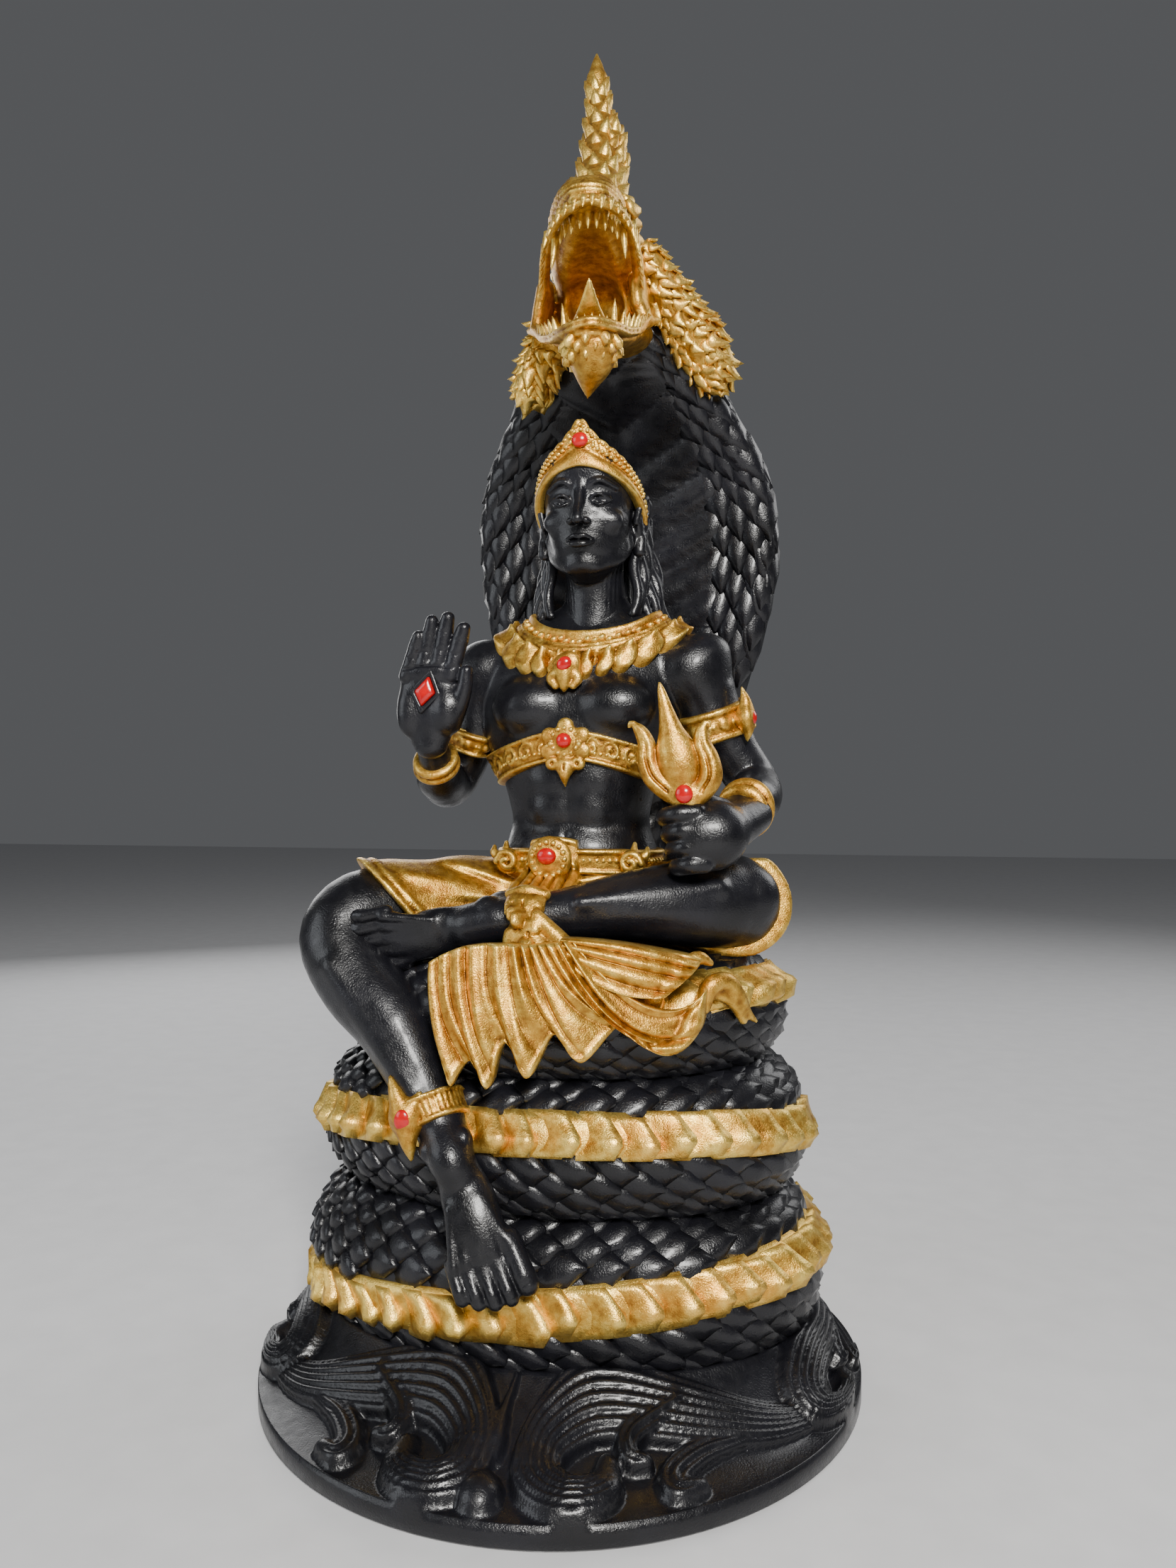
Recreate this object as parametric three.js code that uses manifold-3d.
// Seated figure on a coiled naga that rears up behind it, on a round plinth carved with waves.
// Millimetres, +Z up, the figure faces -Y, and the origin is at the middle of the plinth's underside.
import * as THREE from "three";
import { mergeVertices } from "three/addons/utils/BufferGeometryUtils.js";
import Module from "manifold-3d";

const wasm = await Module();
wasm.setup();

// Driving dimensions
const plinthRadius = 67;
const plinthEdge = 5; // height of the upright rim
const plinthHeight = 12.5; // the table that the coils stand on
const plinthRun = 27; // how far the slope runs in from the rim to the table
const waveReach = 13; // radius of a wave's curl
const waveWidth = 3; // half the width of a wave's ridge
const waveRise = 2.6; // how far a ridge stands above the slope
const waveAngles = [24, 84, 144]; // degrees from the front, on both sides
const dropRadius = 3.4;

const coilReach = [57, 54, 49]; // half the width of each turn, from the bottom one up
const coilFront = [40, 38, 36]; // how far each turn comes forward
const coilBack = [52, 50, 47]; // how far each turn goes back
const coilTop = [44.5, 72.5, 95]; // height of each turn's top
const coilDepth = 13; // half the thickness of the body, from its outer side to its inner side
const scaleCut = 1.1; // depth of the grooves between scales
const plateRise = 1.8; // the belt of broad plates stands proud by this

const nagaMiddle = 8; // the hood stands this far to one side
const nagaRise = 204; // from the seat to the tip of the flame spire
const hoodCurl = 7; // how far the hood's edges come forward

const figureMiddle = 4.5; // the figure sits this far to one side
const figureHeight = 120; // from the seat to the crown's peak
const clearance = 0.3; // between pieces that touch

const stemRadius = 1.6; // the trident's stem, inside the fist
const stemLength = 9;
const tridentHeight = 26; // above the fist

// Finishes
const black = { color: 0x0b0b0e, roughness: 0.35, metalness: 0 };
const gold = { color: 0xb98a2f, roughness: 0.4, metalness: 0.8 };

// Counts of facets
const coilSegments = 24;
const plinthSides = 28;
const trunkSides = 12;

const turn = 2 * Math.PI;
const mix = THREE.MathUtils.lerp;
const smooth = THREE.MathUtils.smoothstep;
const radians = THREE.MathUtils.degToRad;
const vector = (x, y, z) => new THREE.Vector3(x, y, z);

// A closed three.js geometry as a solid that can be joined and cut
function solid(geometry) {
  const bare = new THREE.BufferGeometry();
  bare.setAttribute("position", geometry.getAttribute("position"));
  bare.setIndex(geometry.getIndex());
  const merged = mergeVertices(bare, 1e-4);
  const vertProperties = merged.getAttribute("position").array;
  const triVerts = new Uint32Array(merged.getIndex().array);
  return new wasm.Manifold(new wasm.Mesh({ numProp: 3, vertProperties, triVerts }));
}

function unite(solids) {
  return solids.reduce((sum, next) => sum.add(next));
}

// Points and triangles as a solid, its faces turned outwards
function closed(points, index) {
  let volume = 0;
  for (let t = 0; t < index.length; t += 3) {
    const [a, b, c] = [points[index[t]], points[index[t + 1]], points[index[t + 2]]];
    volume += a.dot(b.clone().cross(c));
  }
  if (volume < 0) index.reverse();
  const geometry = new THREE.BufferGeometry().setFromPoints(points);
  geometry.setIndex(index);
  return solid(geometry);
}

// Rings of equally many points, skinned into one closed body
function loft(rings) {
  const count = rings[0].length;
  const middle = (ring) => ring.reduce((sum, p) => sum.add(p), vector(0, 0, 0)).divideScalar(count);
  const points = [...rings.flat(), middle(rings[0]), middle(rings.at(-1))];
  const first = points.length - 2;
  const last = points.length - 1;
  const top = (rings.length - 1) * count;
  const index = [];
  for (let i = 0; i < count; i++) {
    const j = (i + 1) % count;
    index.push(first, j, i, last, top + i, top + j);
    for (let a = 0; a < top; a += count) {
      const b = a + count;
      index.push(a + i, a + j, b + j, a + i, b + j, b + i);
    }
  }
  return closed(points, index);
}

// A slab between an outer and an inner surface, each a function of two shares from 0 to 1
function slab(outer, inner, across, down) {
  const wide = across + 1;
  const layer = wide * (down + 1);
  const points = [];
  for (const face of [outer, inner]) {
    for (let v = 0; v <= down; v++) {
      for (let u = 0; u <= across; u++) points.push(face(u / across, v / down));
    }
  }
  const index = [];
  const quad = (a, b, c, d) => index.push(a, b, c, a, c, d);
  for (let v = 0; v < down; v++) {
    for (let u = 0; u < across; u++) {
      const a = v * wide + u;
      quad(a, a + 1, a + 1 + wide, a + wide);
      quad(layer + a, layer + a + wide, layer + a + 1 + wide, layer + a + 1);
    }
    const left = v * wide;
    const right = left + across;
    quad(left, left + wide, layer + left + wide, layer + left);
    quad(right, layer + right, layer + right + wide, right + wide);
  }
  for (let u = 0; u < across; u++) {
    const low = down * wide + u;
    quad(u, layer + u, layer + u + 1, u + 1);
    quad(low, low + 1, layer + low + 1, layer + low);
  }
  return closed(points, index);
}

// An oval ring round a point, a along u and b along v
function oval(centre, u, v, a, b, sides) {
  return Array.from({ length: sides }, (_, i) => {
    const angle = (i / sides) * turn;
    return centre.clone().addScaledVector(u, a * Math.cos(angle)).addScaledVector(v, b * Math.sin(angle));
  });
}

// A limb through stations of a point, half its width and half its depth; its depth faces along depthway
function limb(stations, depthway, sides = 6) {
  const points = stations.map(([point]) => point);
  const rings = stations.map(([point, a, b = a], i) => {
    const before = points[Math.max(i - 1, 0)];
    const after = points[Math.min(i + 1, points.length - 1)];
    const along = after.clone().sub(before).normalize();
    const u = depthway.clone().cross(along).normalize();
    return oval(point, u, along.clone().cross(u), a, b, sides);
  });
  return loft(rings);
}

function ball(centre, a, b = a, c = a, sides = 6) {
  const geometry = new THREE.SphereGeometry(1, sides, Math.round(sides * 0.7));
  return solid(geometry.scale(a, c, b).rotateX(turn / 4).translate(centre.x, centre.y, centre.z));
}

// A pointed tooth, tip or flame from a base to a tip
function spike(base, tip, radius, sides = 5) {
  const along = tip.clone().sub(base);
  const height = along.length();
  const geometry = new THREE.ConeGeometry(radius, height, sides).translate(0, height / 2, 0);
  geometry.applyQuaternion(new THREE.Quaternion().setFromUnitVectors(vector(0, 1, 0), along.normalize()));
  return solid(geometry.translate(base.x, base.y, base.z));
}

// A raised band round a limb, on an axis from low to high
function band(low, high, depthway, a, b = a, sides = 6) {
  const at = (share) => low.clone().lerp(high, share);
  const swell = [0.94, 1.08, 0.94];
  return limb(swell.map((size, i) => [
    at(i / (swell.length - 1)),
    a * size,
    b * size,
  ]), depthway, sides);
}

const up = vector(0, 0, 1);
const forward = vector(0, -1, 0);
const sideways = vector(1, 0, 0);

// Plinth

function plinthSurface(radius) {
  return mix(plinthHeight, plinthEdge, Math.max(0, 1 - (plinthRadius - radius) / plinthRun) ** 3);
}

// One wave: a ridge that runs along the slope and curls round into its crest
function wave(angle, side) {
  const middle = plinthRadius - waveReach;
  const steps = 5;
  const place = (share) => {
    const swing = mix(-0.14, 0.98, share) * turn;
    const reach = waveReach * mix(1, 0.42, share);
    const tail = waveReach * 2.2 * Math.max(0, 1 - share * 3) ** 1.5;
    const radius = middle - reach * Math.sin(swing);
    const theta = radians(angle) + (reach * Math.cos(swing) + tail) / middle;
    const height = plinthSurface(radius) + waveRise - waveWidth;
    return vector(side * radius * Math.sin(theta), -radius * Math.cos(theta), height);
  };
  const stations = Array.from({ length: steps + 1 }, (_, i) => {
    const share = i / steps;
    return [place(share), waveWidth * mix(0.7, 1, Math.min(1, share * 3)) * (share > 0.99 ? 1.3 : 1)];
  });
  return limb(stations, up, 4);
}

function drop(angle, fromRim) {
  const radius = plinthRadius - fromRim;
  const theta = radians(angle);
  const centre = vector(radius * Math.sin(theta), -radius * Math.cos(theta), plinthSurface(radius));
  return ball(centre, dropRadius, dropRadius, dropRadius, 5);
}

function makePlinth() {
  const rim = plinthRadius;
  const corner = new THREE.Vector2(rim, plinthEdge);
  const profile = [new THREE.Vector2(0, 0), new THREE.Vector2(rim, 0), corner];
  for (const share of [0.2, 0.45, 1]) {
    const radius = rim - share * plinthRun;
    profile.push(new THREE.Vector2(radius, plinthSurface(radius)));
  }
  profile.push(new THREE.Vector2(0, plinthHeight));
  const body = solid(new THREE.LatheGeometry(profile, plinthSides).rotateX(turn / 4));
  const waves = waveAngles.flatMap((angle) => [wave(angle, 1), wave(angle, -1)]);
  const drops = [0, 180].flatMap((angle) => [drop(angle, dropRadius * 1.3), drop(angle, dropRadius * 4)]);
  const relief = unite([...waves, ...drops]).subtract(coils(clearance, 1, 1));
  return body.add(relief.subtract(below(plinthEdge / 2)));
}

// The naga's coils

// Rows up the side of a turn, in degrees from its widest height: scales, broad plates, scales
const coilRows = [-52, -22, 0, 22, 52];
const creaseDepth = 10; // how deep the crease between two turns goes

// A level ring round one turn, at a height in degrees from the widest
function coilRing(level, row, grow, cut, number) {
  const bottom = level ? coilTop[level - 1] : plinthHeight;
  const half = (coilTop[level] - bottom) / 2;
  const high = radians(row);
  const plates = Math.abs(row) < 1;
  return Array.from({ length: coilSegments }, (_, i) => {
    const angle = (i / coilSegments) * turn;
    const ahead = -Math.cos(angle);
    const length = ahead < 0 ? coilFront[level] : coilBack[level];
    const odd = (i + number) % 2;
    const relief = plates ? plateRise * (odd ? 1 : 0.2) : -scaleCut * odd;
    const depth = coilDepth * (1 - Math.cos(high)) - grow - relief * cut;
    const z = bottom + half * (1 + Math.sin(high));
    return vector(Math.sin(angle) * (coilReach[level] - depth), ahead * (length - depth), z);
  });
}

function innerRing(level, depth, z) {
  return coilRing(level, 0, 0, 0, 0).map((point) => {
    const across = point.x * (1 - depth / coilReach[level]);
    const length = point.y < 0 ? coilFront[level] : coilBack[level];
    return vector(across, point.y * (1 - depth / length), z);
  });
}

// The turns, from the bottom one up, and the hollow of the seat, as one stack
function coils(grow, cut, count = coilTop.length) {
  const rings = [innerRing(0, creaseDepth - grow, plinthHeight - clearance)];
  coilTop.slice(0, count).forEach((top, level) => {
    coilRows.forEach((row, number) => rings.push(coilRing(level, row, grow, cut, number)));
    if (level < count - 1) rings.push(innerRing(level, creaseDepth - grow, top));
  });
  const last = count - 1;
  const dish = last ? mix(coilTop[last - 1], coilTop[last], 0.75) : coilTop[0];
  rings.push(innerRing(last, coilDepth, coilTop[last] + grow));
  rings.push(innerRing(last, coilDepth * 1.7, dish + grow));
  return loft(rings);
}

// Everything lower than a height, for a flat underside
function below(z) {
  const size = plinthRadius * 2;
  return solid(mergeVertices(new THREE.BoxGeometry(size, size, size).translate(0, 0, z - size / 2)));
}

// The naga's neck, hood and head. Their points are hundredths of the naga's rise above the seat.

const rise = nagaRise / 100;
const seat = coilTop.at(-1);
const onNaga = (x, y, z) => vector(nagaMiddle + x * rise, y * rise, seat + z * rise);

// Heights up the hood's spine, its setback, half its width and half its thickness
const hoodSpine = [
  [-6, 15, 5.2, 4.6],
  [5, 21.5, 6.9, 5.4],
  [15, 22, 7.6, 4.4],
  [22, 22, 9.8, 3.7],
  [31, 21.5, 14.8, 3.2],
  [40, 21, 17.8, 3.1],
  [49, 20.5, 18.9, 3.1],
  [57, 19, 17.8, 3.2],
  [63, 16, 15, 3.6],
  [68, 11.5, 11.5, 4.4],
  [71.5, 6.5, 8.3, 5],
  [73.5, 1.5, 6, 5],
];
const hoodSteps = 15;
const hoodSides = 12;

function splineOf(rows, column) {
  const curve = new THREE.SplineCurve(rows.map((row, i) => new THREE.Vector2(i, row[column])));
  return (share) => curve.getPoint(share).y;
}

function makeHood() {
  const [height, back, width, depth] = [0, 1, 2, 3].map((column) => splineOf(hoodSpine, column));
  const rings = [];
  for (let i = 0; i <= hoodSteps; i++) {
    const share = i / hoodSteps;
    const point = (at) => onNaga(0, back(at), height(at));
    const along = point(Math.min(1, share + 0.01)).sub(point(Math.max(0, share - 0.01))).normalize();
    const front = sideways.clone().cross(along).normalize();
    const curl = hoodCurl * smooth(width(share), 7, 17);
    rings.push(
      Array.from({ length: hoodSides }, (_, s) => {
        const round = (s / hoodSides) * turn;
        const across = Math.cos(round);
        const plates = Math.abs(across) < 0.62 && Math.sin(round) > 0;
        const groove = (plates ? i : i + s) % 2 ? 0 : scaleCut;
        const thick = depth(share) * rise * Math.sin(round) - groove * Math.sign(Math.sin(round));
        return point(share)
          .addScaledVector(sideways, width(share) * rise * across)
          .addScaledVector(front, thick + curl * across * across);
      }),
    );
  }
  return loft(rings);
}

// A row of teeth round a jaw's lip: a curved strip whose edge is notched
function teeth(height, reach, length, count) {
  const place = (size) => (u, v) => {
    const angle = mix(-1.9, 1.9, u);
    const tooth = Math.round(u * count * 2) % 2 ? 1 : 0.25;
    const y = reach + 4.6 - (size + 1.2) * Math.cos(angle);
    return onNaga(2.4 + size * Math.sin(angle), y, height + length * tooth * v);
  };
  return slab(place(3.5), place(2.3), count * 2, 1);
}

function makeHead() {
  const at = (x, y, z, a, b) => [onNaga(x, y, z), a * rise, b * rise];
  const skull = limb(
    [
      at(0.5, 11, 74, 6, 4.5),
      at(0.8, 4, 76, 5.8, 4.6),
      at(1.5, -3, 78, 4.8, 3.4),
      at(2, -9, 78.6, 4.3, 2.6),
      at(2.5, -14, 78.4, 3.6, 2),
      at(2.7, -17, 76.6, 2.4, 1.2),
    ],
    up,
    8,
  );
  const jaw = limb(
    [
      at(0.6, 8, 70, 6.2, 3.6),
      at(1.2, 0, 67.2, 5.4, 2.6),
      at(2, -7, 65.3, 4.5, 1.7),
      at(2.4, -12.3, 64.6, 3.8, 1.4),
      at(2.5, -15.2, 64.8, 2.2, 1),
    ],
    up,
  );
  const fangs = [-1, 1].map((side) =>
    spike(onNaga(2.4 + side * 3.1, -12.6, 77.6), onNaga(2.4 + side * 3.2, -13.2, 72.6), rise * 0.8, 4),
  );
  const tongue = limb([
    at(1.5, -2, 68.5, 2, 0.8),
    at(2, -8, 67.6, 1.8, 0.6),
    at(2.3, -13, 67.9, 0.6, 0.4),
  ], up, 4);
  const beard = spike(onNaga(2, -12, 65.6), onNaga(1, -8.4, 59.3), 3.3 * rise, 6);
  const upper = teeth(78, -15.4, -2.8, 5);
  const lower = teeth(64.6, -14.6, 2.2, 5);
  const crest = [makeSpire(), makeMane(1), makeMane(-1)];
  return unite([skull, jaw, upper, lower, ...fangs, tongue, beard, ...crest]);
}

// The flame on the head: a tall wavy tongue with smaller ones along its sides
function makeSpire() {
  const steps = 8;
  const place = (share) => onNaga(mix(2.2, 0.3, share), mix(-9, 0, share), mix(78, 98.5, share));
  const stations = Array.from({ length: steps }, (_, i) => {
    const share = i / (steps - 1);
    const size = rise * mix(2.9, 0.75, share ** 0.8) * (i % 2 ? 1.15 : 0.88);
    return [place(share), size, size * 0.8];
  });
  stations.push([onNaga(0.2, 0.4, 100), 0.1 * rise]);
  const flames = [0.18, 0.46].flatMap((share, i) =>
    [-1, 1].map((side) => {
      const reach = side * mix(3.6, 1.8, share) * rise;
      const base = place(share - 0.08).add(vector(reach * 0.35, 0, 0));
      return spike(base, place(share + 0.16).add(vector(reach * 0.85, (i % 2) * 2, 0)), 1.3 * rise, 4);
    }),
  );
  return unite([limb(stations, forward, 6), ...flames]);
}

// The mane on one side: layered flames from behind the jaw down over the hood
function makeMane(side) {
  const path = new THREE.CatmullRomCurve3(
    [
      [3, -1, 76.5],
      [6, 4, 74.5],
      [8.8, 8, 70.5],
      [11.2, 11, 66.5],
    ].map(([x, y, z]) => onNaga(0.6 + x * side, y, z)),
  );
  const layer = (out, ahead, drop, notches, half, start) => {
    const place = (thick) => (u, v) => {
      const tooth = Math.round(u * notches * 2) % 2 ? 1 : 0.55;
      const reach = mix(-0.3 - start, tooth, v);
      const push = vector(out * side, 0, -drop).multiplyScalar(rise * reach);
      return path.getPoint(mix(start, 1 - start, u)).add(push).add(vector(0, thick - ahead * reach, 0));
    };
    return slab(place(-half * rise), place(half * rise), notches * 2, 1);
  };
  return unite([layer(3, -2, -3.4, 4, 1.9, 0.03), layer(1.6, 3, 4, 4, 2.6, 0)]);
}

function makeNaga() {
  return unite([coils(0, 1).subtract(below(plinthHeight + clearance)), makeHood(), makeHead()]);
}

// The figure. Its points are hundredths of its height above the seat.

const unit = figureHeight / 100;
const onFigure = (x, y, z) => vector(figureMiddle + x * unit, y * unit, seat + z * unit);
const station = (x, y, z, a, b = a) => [onFigure(x, y, z), a * unit, b * unit];

function makeTorso() {
  const trunk = limb(
    [
      station(0, 2, 1, 15, 10.5),
      station(0, 2, 9, 16.3, 11.5),
      station(0, 0.5, 16, 15.2, 10.8),
      station(0, 0.3, 24, 13.4, 9.3),
      station(0, 0, 31, 14.4, 9.7),
      station(0, -0.2, 38, 16.6, 10.3),
      station(0, -0.2, 46, 18.6, 10.4),
      station(0.2, 1, 53, 18.6, 8.8),
      station(0.2, 1.8, 58.5, 13.5, 6.8),
      station(0.2, 1.6, 62, 6.4, 5.6),
      station(0.2, 0.6, 71, 4.9, 5),
    ],
    forward,
    10,
  );
  const breasts = [-1, 1].map((side) =>
    ball(onFigure(side * 7.6, -6.6, 46.5), 8.2 * unit, 4.4 * unit, 5.4 * unit),
  );
  return unite([trunk, ...breasts]);
}

function makeFigureHead() {
  const skull = limb(
    [
      station(0, -5, 70, 3.2, 3.6),
      station(0, -3.8, 72.5, 5.2, 6.2),
      station(0, -3, 77, 7.1, 8),
      station(0, -2.3, 82.5, 8.2, 9),
      station(0, -2, 88, 8.3, 9.2),
      station(0, -1.8, 93, 6.9, 7.6),
      station(0, -1.6, 96.5, 3.6, 4),
    ],
    forward,
    9,
  );
  const nose = spike(onFigure(0, -10.2, 78.6), onFigure(0, -10.4, 86), 1.9 * unit);
  const mouth = ball(onFigure(0, -10.2, 75.6), 2.4 * unit, 1 * unit, 0.9 * unit);
  const pairs = [-1, 1].flatMap((side) => [
    ball(onFigure(side * 3.3, -9.6, 82.6), 1.9 * unit, 1 * unit, 0.9 * unit),
    ball(onFigure(side * 8.4, -1.5, 80.5), 1.3 * unit, 2 * unit, 4.6 * unit),
    limb(
      [
        station(side * 7.6, 3, 87, 2.6, 4),
        station(side * 9.2, 4, 78, 2, 3.4),
        station(side * 8.8, 4.6, 70, 2.2, 2.8),
        station(side * 10.6, 4.8, 62.6, 1.8, 2.4),
      ],
      forward,
      5,
    ),
  ]);
  return unite([skull, nose, mouth, ...pairs]);
}

// The crown: a band round the brow that rises to a peak over the forehead, edged with beads
function makeCrown() {
  const reach = radians(112);
  const notches = 12;
  const face = (grow) => (u, v) => {
    const angle = mix(-reach, reach, u);
    const side = Math.abs(angle) / reach;
    const low = mix(89, 78.5, side ** 1.6);
    const point = Math.round(u * notches) % 2 ? 0.5 : -0.5;
    const high = low + mix(9.8, 3.6, side ** 0.55) + point;
    const lean = 1 - 0.22 * (1 - v) * (1 - side);
    const x = (8.6 + grow) * Math.sin(angle) * lean;
    return onFigure(x, -2 - (9.4 + grow) * Math.cos(angle) * lean, mix(high, low, v));
  };
  const gem = ball(onFigure(0.2, -11.4, 93.6), 1.5 * unit, 1 * unit, 1.5 * unit);
  const peak = spike(onFigure(0.2, -7.6, 96.4), onFigure(0.2, -6.6, 100), 1.5 * unit);
  const ends = [-1, 1].map((side) =>
    ball(onFigure(side * 9.3, 2.2, 78.5), 1.6 * unit, 1.6 * unit, 1.9 * unit),
  );
  return unite([slab(face(1.3), face(-0.9), notches, 2), gem, peak, ...ends]);
}

// The collar: a broad scalloped ring that lies on the shoulders and dips to a pendant
function makeCollar() {
  const count = 20;
  const ring = (size, drop) =>
    Array.from({ length: count }, (_, i) => {
      const angle = (i / count) * turn;
      const front = Math.max(0, Math.cos(angle));
      const back = Math.max(0, -Math.cos(angle));
      const leaf = i % 2 ? 0.93 : 1.03;
      const width = mix(5.8, 17.6 * leaf, size);
      const length = mix(5.6, (10.6 + 0.6 * front ** 8) * leaf, size);
      const fall = mix(64.4, 60.2 - 7.4 * front ** 1.6 - 3 * back, size);
      return onFigure(0.2 + width * Math.sin(angle), 1 - length * Math.cos(angle), fall - drop);
    });
  const pendant = [
    ball(onFigure(-0.2, -10.9, 53.5), 1.7 * unit, 1.2 * unit, 1.7 * unit),
    spike(onFigure(-0.2, -10, 53.4), onFigure(-0.2, -10.6, 49.6), 2.3 * unit),
  ];
  return unite([loft([ring(0.85, 3), ring(1, 1), ring(0.96, -0.4), ring(0.1, -0.6)]), ...pendant]);
}

// A band round the trunk that lifts towards its middle
function trunkBand(z, height, width, depth, back, lift) {
  const sizes = [[0, 0.95], [0.5, 1.06], [1, 0.95]];
  return loft(
    sizes.map(([share, size]) =>
      Array.from({ length: trunkSides }, (_, i) => {
        const angle = (i / trunkSides) * turn;
        const front = Math.max(0, Math.cos(angle));
        const rise = z + height * (share - 0.5) + lift * front ** 2;
        return onFigure(width * size * Math.sin(angle), back - depth * size * Math.cos(angle), rise);
      }),
    ),
  );
}

function makeChestBand() {
  const medallion = [
    ball(onFigure(-0.2, -10.7, 39), 4.3 * unit, 1.6 * unit, 4.3 * unit),
    ball(onFigure(-0.2, -12.1, 39.4), 1.5 * unit, 1 * unit, 1.5 * unit),
    spike(onFigure(-0.2, -10.4, 36.4), onFigure(-0.2, -10.8, 32.4), 2.2 * unit),
  ];
  return unite([trunkBand(34.6, 6.2, 16.6, 10.9, 0, 3.6), ...medallion]);
}

function makeBelt() {
  const buckle = [
    limb([
      station(-2.2, -10, 18.4, 4.6),
      station(-2.2, -12.6, 18.8, 4.6),
      station(-2.2, -13.2, 18.9, 3.8),
    ], up, 9),
    ball(onFigure(-2.2, -13.3, 18.9), 1.9 * unit, 1 * unit, 1.9 * unit),
  ];
  const flames = [-1, 1].map((side) =>
    spike(onFigure(side * 12.6, -7.2, 16.6), onFigure(side * 12.4, -7, 21.6), 2.4 * unit),
  );
  return unite([trunkBand(17, 4.6, 15.9, 11.4, 0.5, 0.4), ...buckle, ...flames]);
}

// A ring round a limb, given by a point, half its size and the direction of the limb
function cuff(point, along, size, height, depthway = forward) {
  const half = along.clone().normalize().multiplyScalar((height * unit) / 2);
  return band(point.clone().sub(half), point.clone().add(half), depthway, size * unit);
}

// A hand or foot: a flat limb whose front is scored into fingers or toes, and whose end bows out.
// Stations are a point, half the width, half the depth, the depth of the scores and the bow.
function scored(stations, across, front, count) {
  const along = across.clone().cross(front).normalize();
  return loft(
    stations.map(([point, a, b, score, bow]) => {
      const place = (share, depth) =>
        point
          .clone()
          .addScaledVector(across, a * share * unit)
          .addScaledVector(front, depth * unit)
          .addScaledVector(along, bow * (1 - share * share) * unit);
      const faces = Array.from({ length: 2 * count + 1 }, (_, i) => {
        const share = i / count - 1;
        const groove = i % 2 ? 0 : score;
        return place(share, b * (1 - 0.6 * share * share) - groove);
      });
      return [...faces, ...[0.75, 0, -0.75].map((share) => place(share, -b))];
    }),
  );
}

function makeRightArm() {
  const arm = limb(
    [
      station(-15, 2, 54, 5, 5),
      station(-19.4, 2.6, 52.5, 6.8),
      station(-21.8, 4, 45, 5.6),
      station(-24.4, 5.6, 38, 4.9),
      station(-27.4, 5.8, 32.3, 4.6),
      station(-27.4, 0, 31.8, 4.6),
      station(-25.4, -9.5, 36, 3.3),
      station(-24.8, -13.6, 40.5, 2.9),
    ],
    vector(-1, 0.4, 0.2),
    6,
  );
  const hand = scored(
    [
      [onFigure(-24.8, -13, 38.5), 3.2, 2.2, 0, 0],
      [onFigure(-25, -14.6, 43), 5.8, 2.6, 0, 0],
      [onFigure(-24.6, -15.8, 51), 6.2, 2.2, 0.2, 0.6],
      [onFigure(-24.2, -16.6, 55), 5.7, 1.5, 0.9, 1],
      [onFigure(-23.8, -17.2, 59), 4.4, 0.9, 0.6, 3],
    ],
    sideways,
    forward,
    4,
  );
  const thumb = limb([
    station(-21, -14.6, 43, 2),
    station(-18.4, -15.4, 49.4, 1.8),
    station(-18.3, -16, 55.6, 1.1),
  ], forward, 4);
  const stone = spike(onFigure(-24.4, -16.4, 47.6), onFigure(-24.4, -18.9, 47.6), 3 * unit, 4);
  const rings = [
    cuff(onFigure(-23.2, 5, 41), vector(-0.35, 0.2, -1), 6, 4.6),
    cuff(onFigure(-25.8, -8.4, 35.2), vector(0.2, -1, 0.5), 4.6, 3.4, up),
  ];
  return unite([arm, hand, thumb, stone, ...rings]);
}

function makeLeftArm() {
  const arm = limb(
    [
      station(15, 2, 54, 5, 5),
      station(20.6, 2.6, 52.5, 7),
      station(24.6, 4.4, 45, 6),
      station(28.6, 6, 37.5, 5.2),
      station(32, 6.2, 32, 5),
      station(33, 0, 28.8, 4.8),
      station(29.6, -12.6, 24.6, 3.4),
    ],
    vector(1, 0.4, 0.2),
    6,
  );
  const fist = ball(onFigure(28, -14.6, 23.6), 5.6 * unit, 4.6 * unit, 5.2 * unit, 7);
  const curled = scored(
    [
      [onFigure(28, -16.4, 23.6), 4.8, 2.4, 0.6, 0],
      [onFigure(24.2, -18.4, 23.4), 5, 2.6, 0.9, 0],
      [onFigure(21, -17.4, 23.4), 4.4, 1.8, 0.6, 0],
    ],
    up,
    forward,
    4,
  );
  const thumb = limb([
    station(28, -14, 27.6, 1.8),
    station(24.4, -17, 29, 1.6),
    station(21.8, -18.4, 28.4, 1.2),
  ], up, 4);
  const rings = [
    cuff(onFigure(26.2, 5.2, 42.4), vector(0.45, 0.2, -1), 6.9, 5),
    cuff(onFigure(32.6, -5, 27), vector(-0.2, -1, -0.2), 4.9, 3.6, up),
    spike(onFigure(30.4, 2.6, 43), onFigure(33.4, 1.6, 50), 2.6 * unit),
  ];
  return unite([arm, fist, curled, thumb, ...rings]);
}

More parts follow.
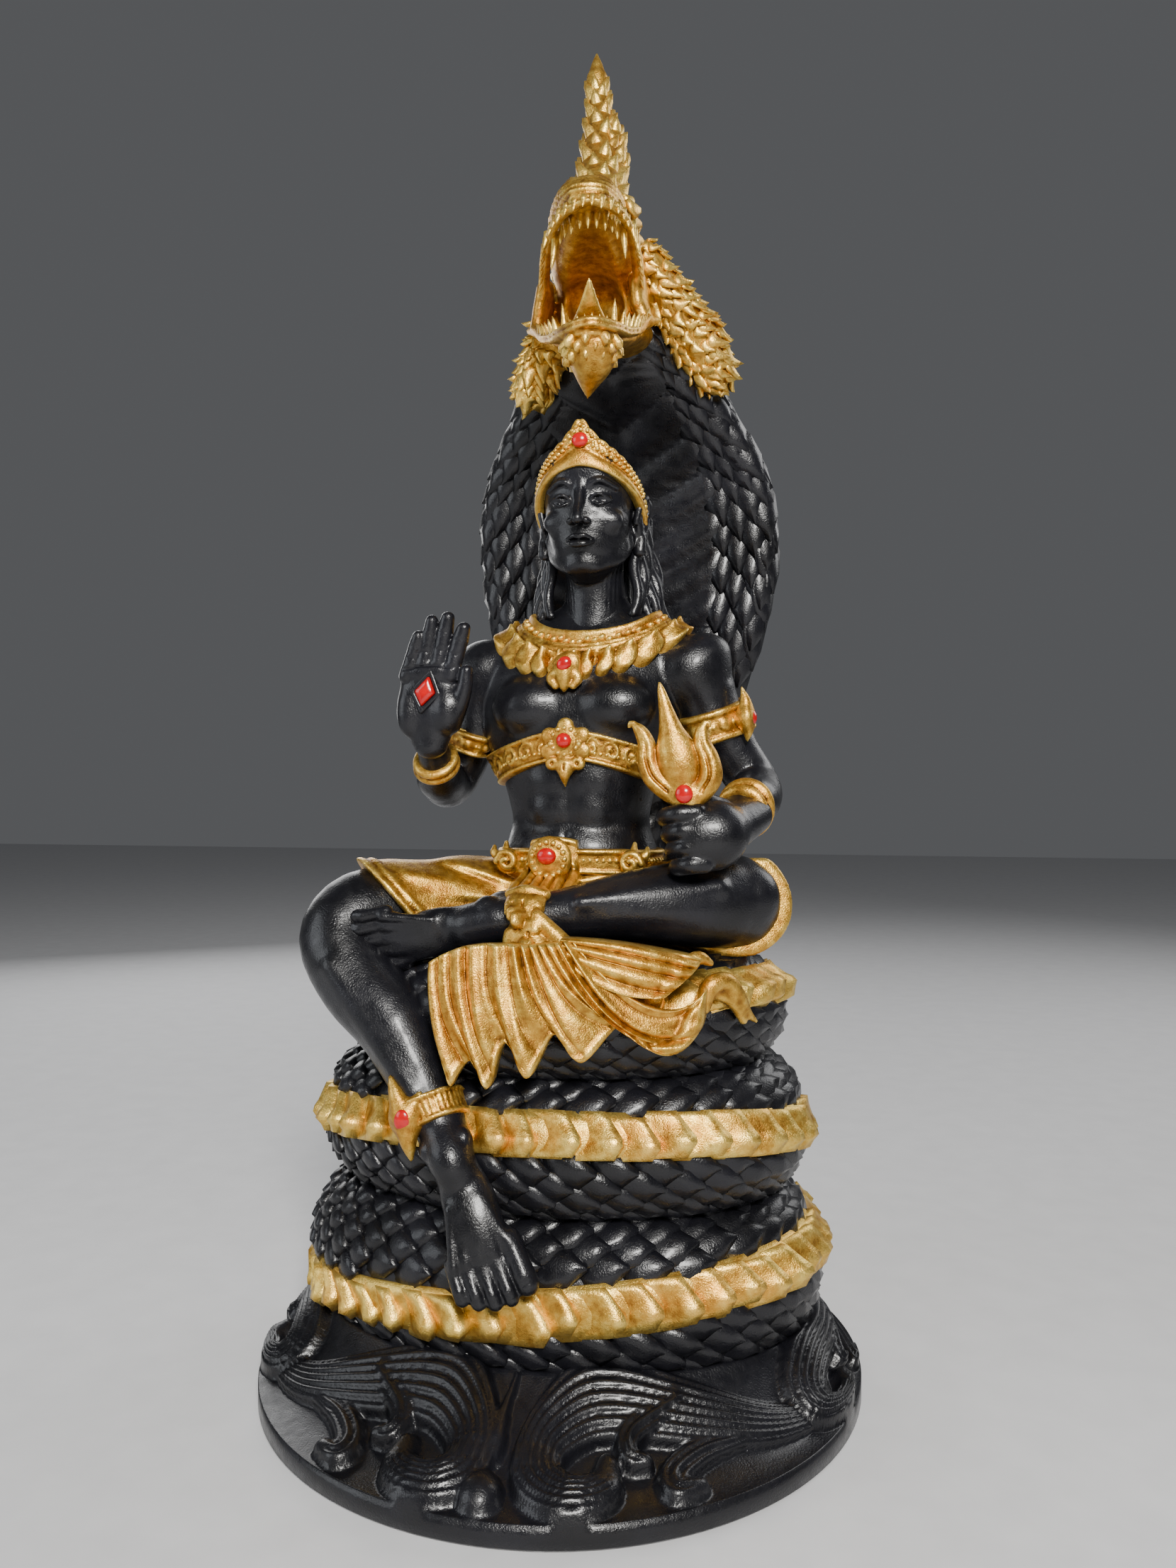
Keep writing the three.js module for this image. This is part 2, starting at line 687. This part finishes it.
function makeRightLeg() {
  const leg = limb(
    [
      station(-6, 3, 7.5, 9),
      station(-18, -1, 7.6, 9.4),
      station(-29.5, -10, 8, 8.6),
      station(-37.6, -17, 8.6, 8),
      station(-39.6, -21, 4, 7.8),
      station(-34.4, -24, -3.4, 7.4),
      station(-26.4, -26.6, -10, 7),
      station(-18.4, -30.6, -23, 5),
      station(-13.4, -33.2, -31, 4.5),
    ],
    vector(0.4, -1, -0.5),
    7,
  );
  const foot = scored(
    [
      [onFigure(-13.6, -32.6, -29), 4.2, 4, 0, 0],
      [onFigure(-9.4, -36.4, -36), 5.2, 3.8, 0, 0],
      [onFigure(-4.6, -38.4, -42.5), 6.4, 3, 0.2, 0.4],
      [onFigure(-2.8, -38.8, -46.5), 6.9, 2.2, 0.9, 0.8],
      [onFigure(-2, -39.2, -49), 6, 1.3, 0.6, 1.2],
    ],
    sideways.clone().negate(),
    forward,
    5,
  );
  const anklet = [
    cuff(onFigure(-18, -30.4, -23.6), vector(0.45, -0.3, -0.8), 6.4, 4.4, vector(0.4, -1, 0.7)),
    spike(onFigure(-19.4, -34.4, -24), onFigure(-23, -34, -17.4), 2.6 * unit),
    spike(onFigure(-19.4, -34.4, -24), onFigure(-19.4, -37.6, -30.6), 2.6 * unit),
    ball(onFigure(-19.4, -35.6, -24), 3 * unit, 1.8 * unit, 3 * unit),
  ];
  return unite([leg, foot, ...anklet]);
}

function makeLeftLeg() {
  const thigh = limb([
    station(6, 3, 7.5, 9),
    station(18, 1, 9, 9.6),
    station(28, -2, 10, 9.2),
    station(30.5, -3, 10.2, 7),
  ], up, 7);
  const shin = limb(
    [
      station(30, -3, 10, 6, 6),
      station(27, -6, 10.4, 8.4),
      station(19.5, -12.4, 10.5, 7.7),
      station(5, -20, 9.6, 5.2),
      station(-6, -23, 8.2, 3.9),
      station(-13, -24.4, 7.8, 4.2),
    ],
    up,
    7,
  );
  const foot = scored(
    [
      [onFigure(-9, -24, 8), 3.6, 3.8, 0, 0],
      [onFigure(-16, -25.4, 7.8), 4.8, 3.8, 0, 0],
      [onFigure(-23, -26.6, 6), 5.2, 2.8, 0.2, 0.4],
      [onFigure(-26.4, -27, 5), 5, 2, 0.8, 0.8],
      [onFigure(-28.6, -27.2, 4.2), 4.2, 1.2, 0.5, 1.2],
    ],
    up.clone().negate(),
    forward,
    5,
  );
  return unite([thigh, shin, foot]);
}

// Short trousers to above the knees, with a raised hem
function makeShorts() {
  const right = [
    limb([
      station(-4, 3, 7.5, 10),
      station(-18, -1, 7.8, 10.4),
      station(-31, -11, 8.4, 9.4),
    ], up, 8),
    cuff(onFigure(-31.2, -11.2, 8.4), vector(-0.75, -0.65, 0), 10, 2.4, up),
  ];
  const left = [
    limb([station(4, 3, 7.5, 10), station(18, 1, 9, 10.6), station(29, -1, 9.6, 10.4)], up, 8),
    cuff(onFigure(29, -1, 9.6), vector(0.95, -0.2, 0.05), 10.9, 2.2, up),
  ];
  return unite([...right, ...left]);
}

// The sash falls from the buckle, ties over the shin and spreads into pleats over the seat
function makeSash() {
  const fall = limb(
    [
      station(-2.4, -10.6, 18.5, 3.6, 1.6),
      station(-3, -15, 13.5, 5, 1.8),
      station(-3.4, -19.5, 11.6, 5.2, 1.8),
    ],
    up,
    6,
  );
  const tie = limb(
    [
      station(-3.6, -18, 14.6, 3.4, 1.4),
      station(-3.4, -24, 14.6, 3.6, 1.4),
      station(-3.2, -28, 9, 3.4, 1.5),
      station(-3, -28.4, 3.4, 4.2, 1.6),
      [onFan(1.2)(0.38, 0.15), 5 * unit, 1.8 * unit],
    ],
    vector(0, 0.3, 1),
    6,
  );
  return unite([fall, tie, makeFan()]);
}

// The pleated cloth that hangs over the front of the top turn, its hem drawn out into points
const fanPleats = 12;
const fanPoints = 6;

// A place on the cloth, at a share across and down, that stands proud of its inner side
function onFan(proud) {
  const level = coilTop.length - 1;
  const hang = plateRise + 2 * clearance;
  return (u, v) => {
    const { x } = onFigure(mix(mix(-19, 28, u), mix(-12, 31, u), v), 0, 0);
    const bow = Math.sqrt(Math.max(0, 1 - (x / (coilReach[level] + hang)) ** 2));
    const top = mix(1.4, 3, u) + 3 * Math.sin(u * Math.PI);
    const hem = mix(-14.5, -9, u) - 2 * Math.sin(u * Math.PI) - 1.8 * Math.cos(u * fanPoints * turn);
    const fold = Math.cos(u * fanPleats * turn) * Math.min(1, v * 2 + 0.3);
    const swell = proud ? proud + 0.9 * fold + 1.8 * Math.sin(v * Math.PI) : 0;
    return vector(x, -(coilFront[level] + hang) * bow - swell, seat + mix(top, hem, v) * unit);
  };
}

function makeFan() {
  const near = onFan(1.6);
  const end = near(1, 0.6);
  const curl = [
    limb([
      [near(0.9, 0.65), 3 * unit, 1.6 * unit],
      [end, 2.4 * unit, 1.4 * unit],
      [end.clone().add(vector(3, 5, 1.4)), 1.2 * unit, 0.8 * unit],
    ], up, 6),
    spike(near(0.94, 0.2), near(1, 0.05).add(vector(2, 2, 1)), 1.8 * unit),
  ];
  return unite([slab(onFan(2.6), onFan(0), fanPleats * 2, 2), ...curl]);
}

function makeFigure() {
  const parts = [
    makeTorso(),
    makeFigureHead(),
    makeCrown(),
    makeCollar(),
    makeChestBand(),
    makeBelt(),
    makeRightArm(),
    makeLeftArm(),
    makeShorts(),
    makeRightLeg(),
    makeLeftLeg(),
    makeSash(),
  ];
  return unite(parts).subtract(coils(clearance, 1)).subtract(makeTrident(clearance));
}

// The trident: a lotus bud between two curling prongs, on a stem that the fist holds.
// Its points and sizes are shares of its height above the fist.
function makeTrident(grow = 0) {
  const size = tridentHeight;
  const foot = onFigure(23.2, -19.4, 19.8);
  const along = onFigure(18.8, -20.2, 48).sub(foot).normalize();
  const place = (across, high, front = 0) =>
    foot.clone().addScaledVector(along, stemLength + high * size).add(vector(across * size, front * size, 0));
  const grown = ([at, a, b = a]) => [at, a * size + grow, b * size + grow];
  const body = (stations, sides) => limb(stations.map(grown), forward, sides);
  const end = foot.clone().addScaledVector(along, -grow);
  const stem = body([
    [end, stemRadius / size],
    [place(0, -0.02), stemRadius / size],
    [place(0, 0.04), 0.14, 0.12],
    [place(0, 0.12), 0.115, 0.1],
    [place(0, 0.2), 0.07],
  ]);
  const bud = body([
    [place(0, 0.15), 0.06],
    [place(0, 0.36), 0.127, 0.108],
    [place(0, 0.52), 0.115, 0.1],
    [place(0, 0.78), 0.054],
    [place(0, 1), 0.012],
  ]);
  const prongs = [-1, 1].map((side) =>
    body(
      [
        [place(side * 0.04, 0.1), 0.06],
        [place(side * 0.17, 0.26), 0.065, 0.058],
        [place(side * 0.177, 0.46), 0.05],
        [place(side * 0.223, 0.62), 0.035],
        [place(side * 0.254, 0.7), 0.012],
      ],
      5,
    ),
  );
  return unite([stem, bud, ...prongs, ball(place(0, 0.12, -0.1), 0.065 * size + grow)]);
}

function meshOf(name, body, finish) {
  const { numProp, vertProperties, triVerts } = body.getMesh();
  const geometry = new THREE.BufferGeometry();
  const points = new Float32Array((vertProperties.length / numProp) * 3);
  points.forEach((_, i) => (points[i] = vertProperties[Math.floor(i / 3) * numProp + (i % 3)]));
  geometry.setAttribute("position", new THREE.BufferAttribute(points, 3));
  geometry.setIndex(new THREE.BufferAttribute(new Uint32Array(triVerts), 1));
  geometry.computeVertexNormals();
  const mesh = new THREE.Mesh(geometry, new THREE.MeshStandardMaterial(finish));
  mesh.name = name;
  return mesh;
}

const group = new THREE.Group();
group.add(meshOf("plinth", makePlinth(), black));
group.add(meshOf("naga", makeNaga(), black));
group.add(meshOf("figure", makeFigure(), black));
group.add(meshOf("trident", makeTrident(), gold));

export default group;
